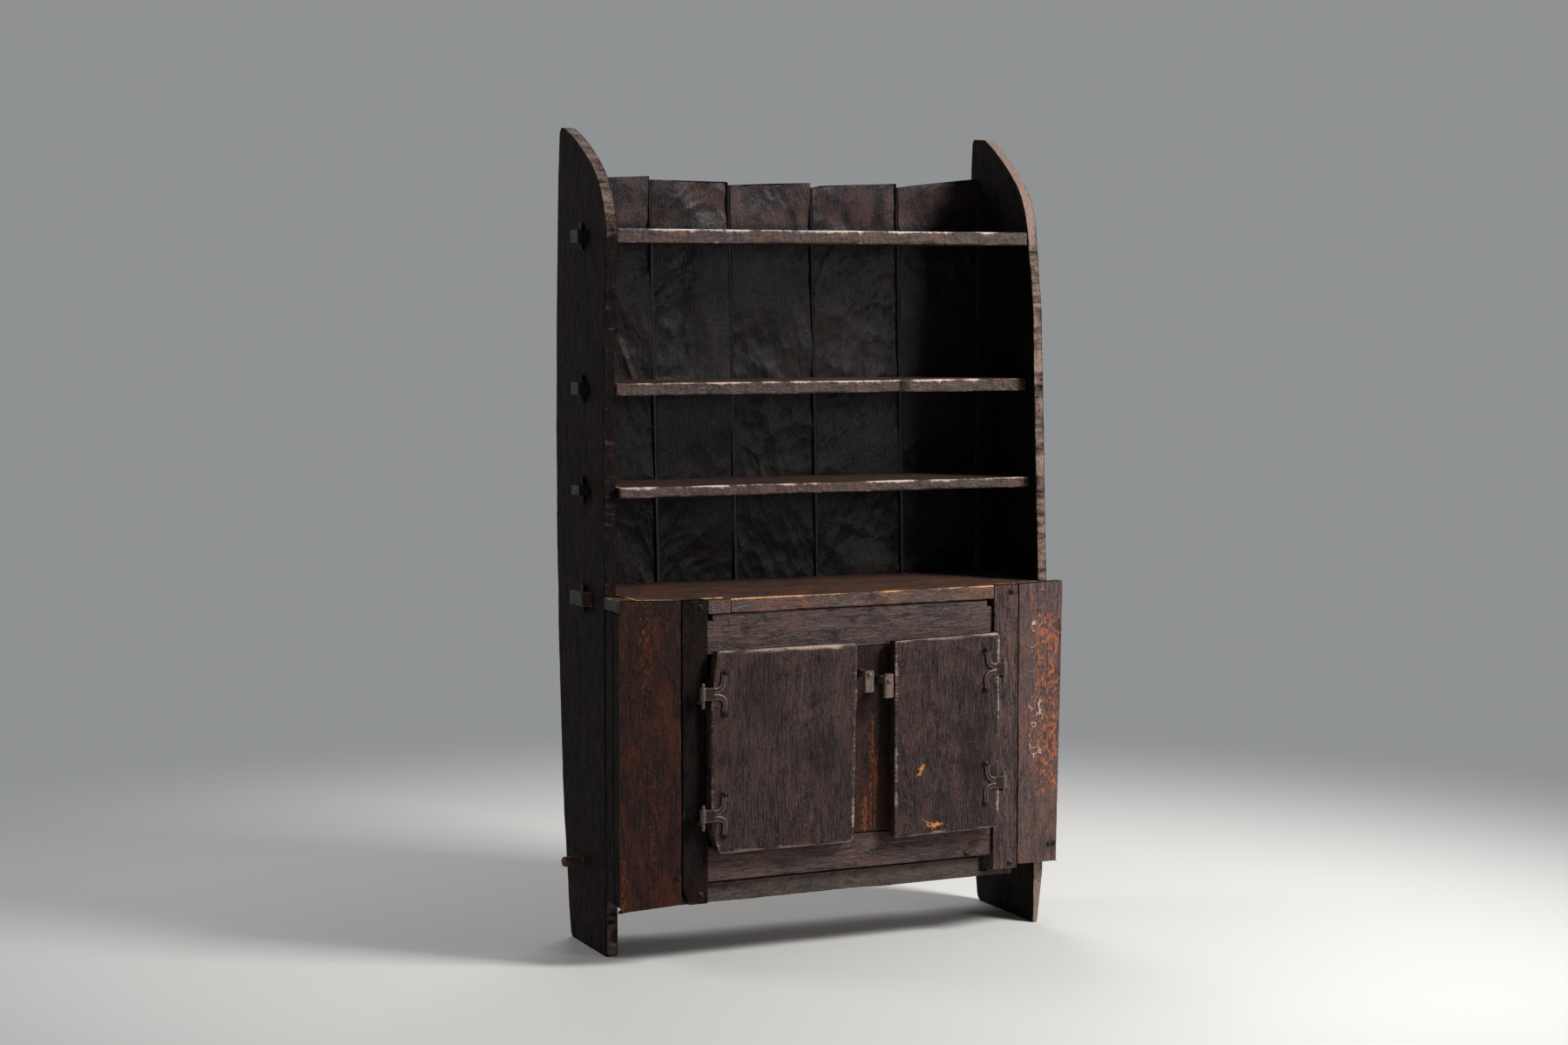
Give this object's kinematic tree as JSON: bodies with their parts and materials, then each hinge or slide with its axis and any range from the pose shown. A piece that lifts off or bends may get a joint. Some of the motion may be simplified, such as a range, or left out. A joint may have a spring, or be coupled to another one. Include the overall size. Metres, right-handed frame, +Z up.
{
  "type": "dresser cabinet",
  "caption": "Rustic hewn-wood dresser cabinet: open shelves on wedged through tenons between curved side boards, over a canted cupboard with strap-hinged doors and turn buttons.",
  "frame": {"origin": "middle of the whole object's footprint box, on the floor", "axes": "+Z up, +Y towards the back, +X to the right of someone facing the doors"},
  "size_m": [1.18, 0.5314, 1.862],
  "materials": {
    "blackened_oak": "smoke-dark, adzed",
    "shelf_oak": "hewn, worn edges",
    "counter_oak": "worn, waxed",
    "front_oak": "red-brown, waxed",
    "door_oak": "dry, rubbed edges",
    "latch_wood": "bare, handled",
    "forged_iron": "hammered, dark"
  },
  "bodies": {
    "carcass": {"side_left": "blackened_oak", "side_right": "blackened_oak", "shelf_top": "shelf_oak", "shelf_middle": "shelf_oak", "shelf_lower": "shelf_oak", "counter": "counter_oak", "counter_patch": "counter_oak", "floor_board": "counter_oak", "back_plank_1": "blackened_oak", "back_plank_2": "blackened_oak", "back_plank_3": "blackened_oak", "back_plank_4": "blackened_oak", "back_plank_5": "blackened_oak", "corner_board_left": "front_oak", "corner_board_right": "front_oak", "post_left": "front_oak", "post_right": "front_oak", "return_strip_front": "blackened_oak", "return_strip_back": "blackened_oak", "rail_top": "front_oak", "rail_bottom": "front_oak", "muntin": "front_oak", "apron": "front_oak", "pintle_left_upper": "forged_iron", "pintle_left_lower": "forged_iron", "pintle_right_upper": "forged_iron", "pintle_right_lower": "forged_iron", "latch_nail_left": "forged_iron", "latch_nail_right": "forged_iron", "front_nails": "forged_iron", "back_nails": "forged_iron", "tusk_wedges": "counter_oak"},
    "left_door": {"door_left": "door_oak", "hinge_left_upper": "forged_iron", "hinge_left_lower": "forged_iron", "hinge_nails_left": "forged_iron"},
    "right_door": {"door_right": "door_oak", "hinge_right_upper": "forged_iron", "hinge_right_lower": "forged_iron", "hinge_nails_right": "forged_iron"},
    "left_latch": {"latch_left": "latch_wood"},
    "right_latch": {"latch_right": "latch_wood"}
  },
  "joints": [
    {"name": "left_door_swing", "type": "hinge", "parent": "carcass", "child": "left_door", "pos_m": [-0.38012, -0.25633, 0.34002], "axis": [0, 0, -1], "range_deg": [0, 170]},
    {"name": "right_door_swing", "type": "hinge", "parent": "carcass", "child": "right_door", "pos_m": [0.38127, -0.21443, 0.36198], "axis": [0, 0, 1], "range_deg": [0, 170]},
    {"name": "left_latch_turn", "type": "hinge", "parent": "carcass", "child": "left_latch", "pos_m": [0.02258, -0.23923, 0.632], "axis": [-0.055, 0.9985, 0], "range_deg": [0, 180]},
    {"name": "right_latch_turn", "type": "hinge", "parent": "carcass", "child": "right_latch", "pos_m": [0.07249, -0.23649, 0.615], "axis": [0.055, -0.9985, 0], "range_deg": [0, 180]}
  ]
}
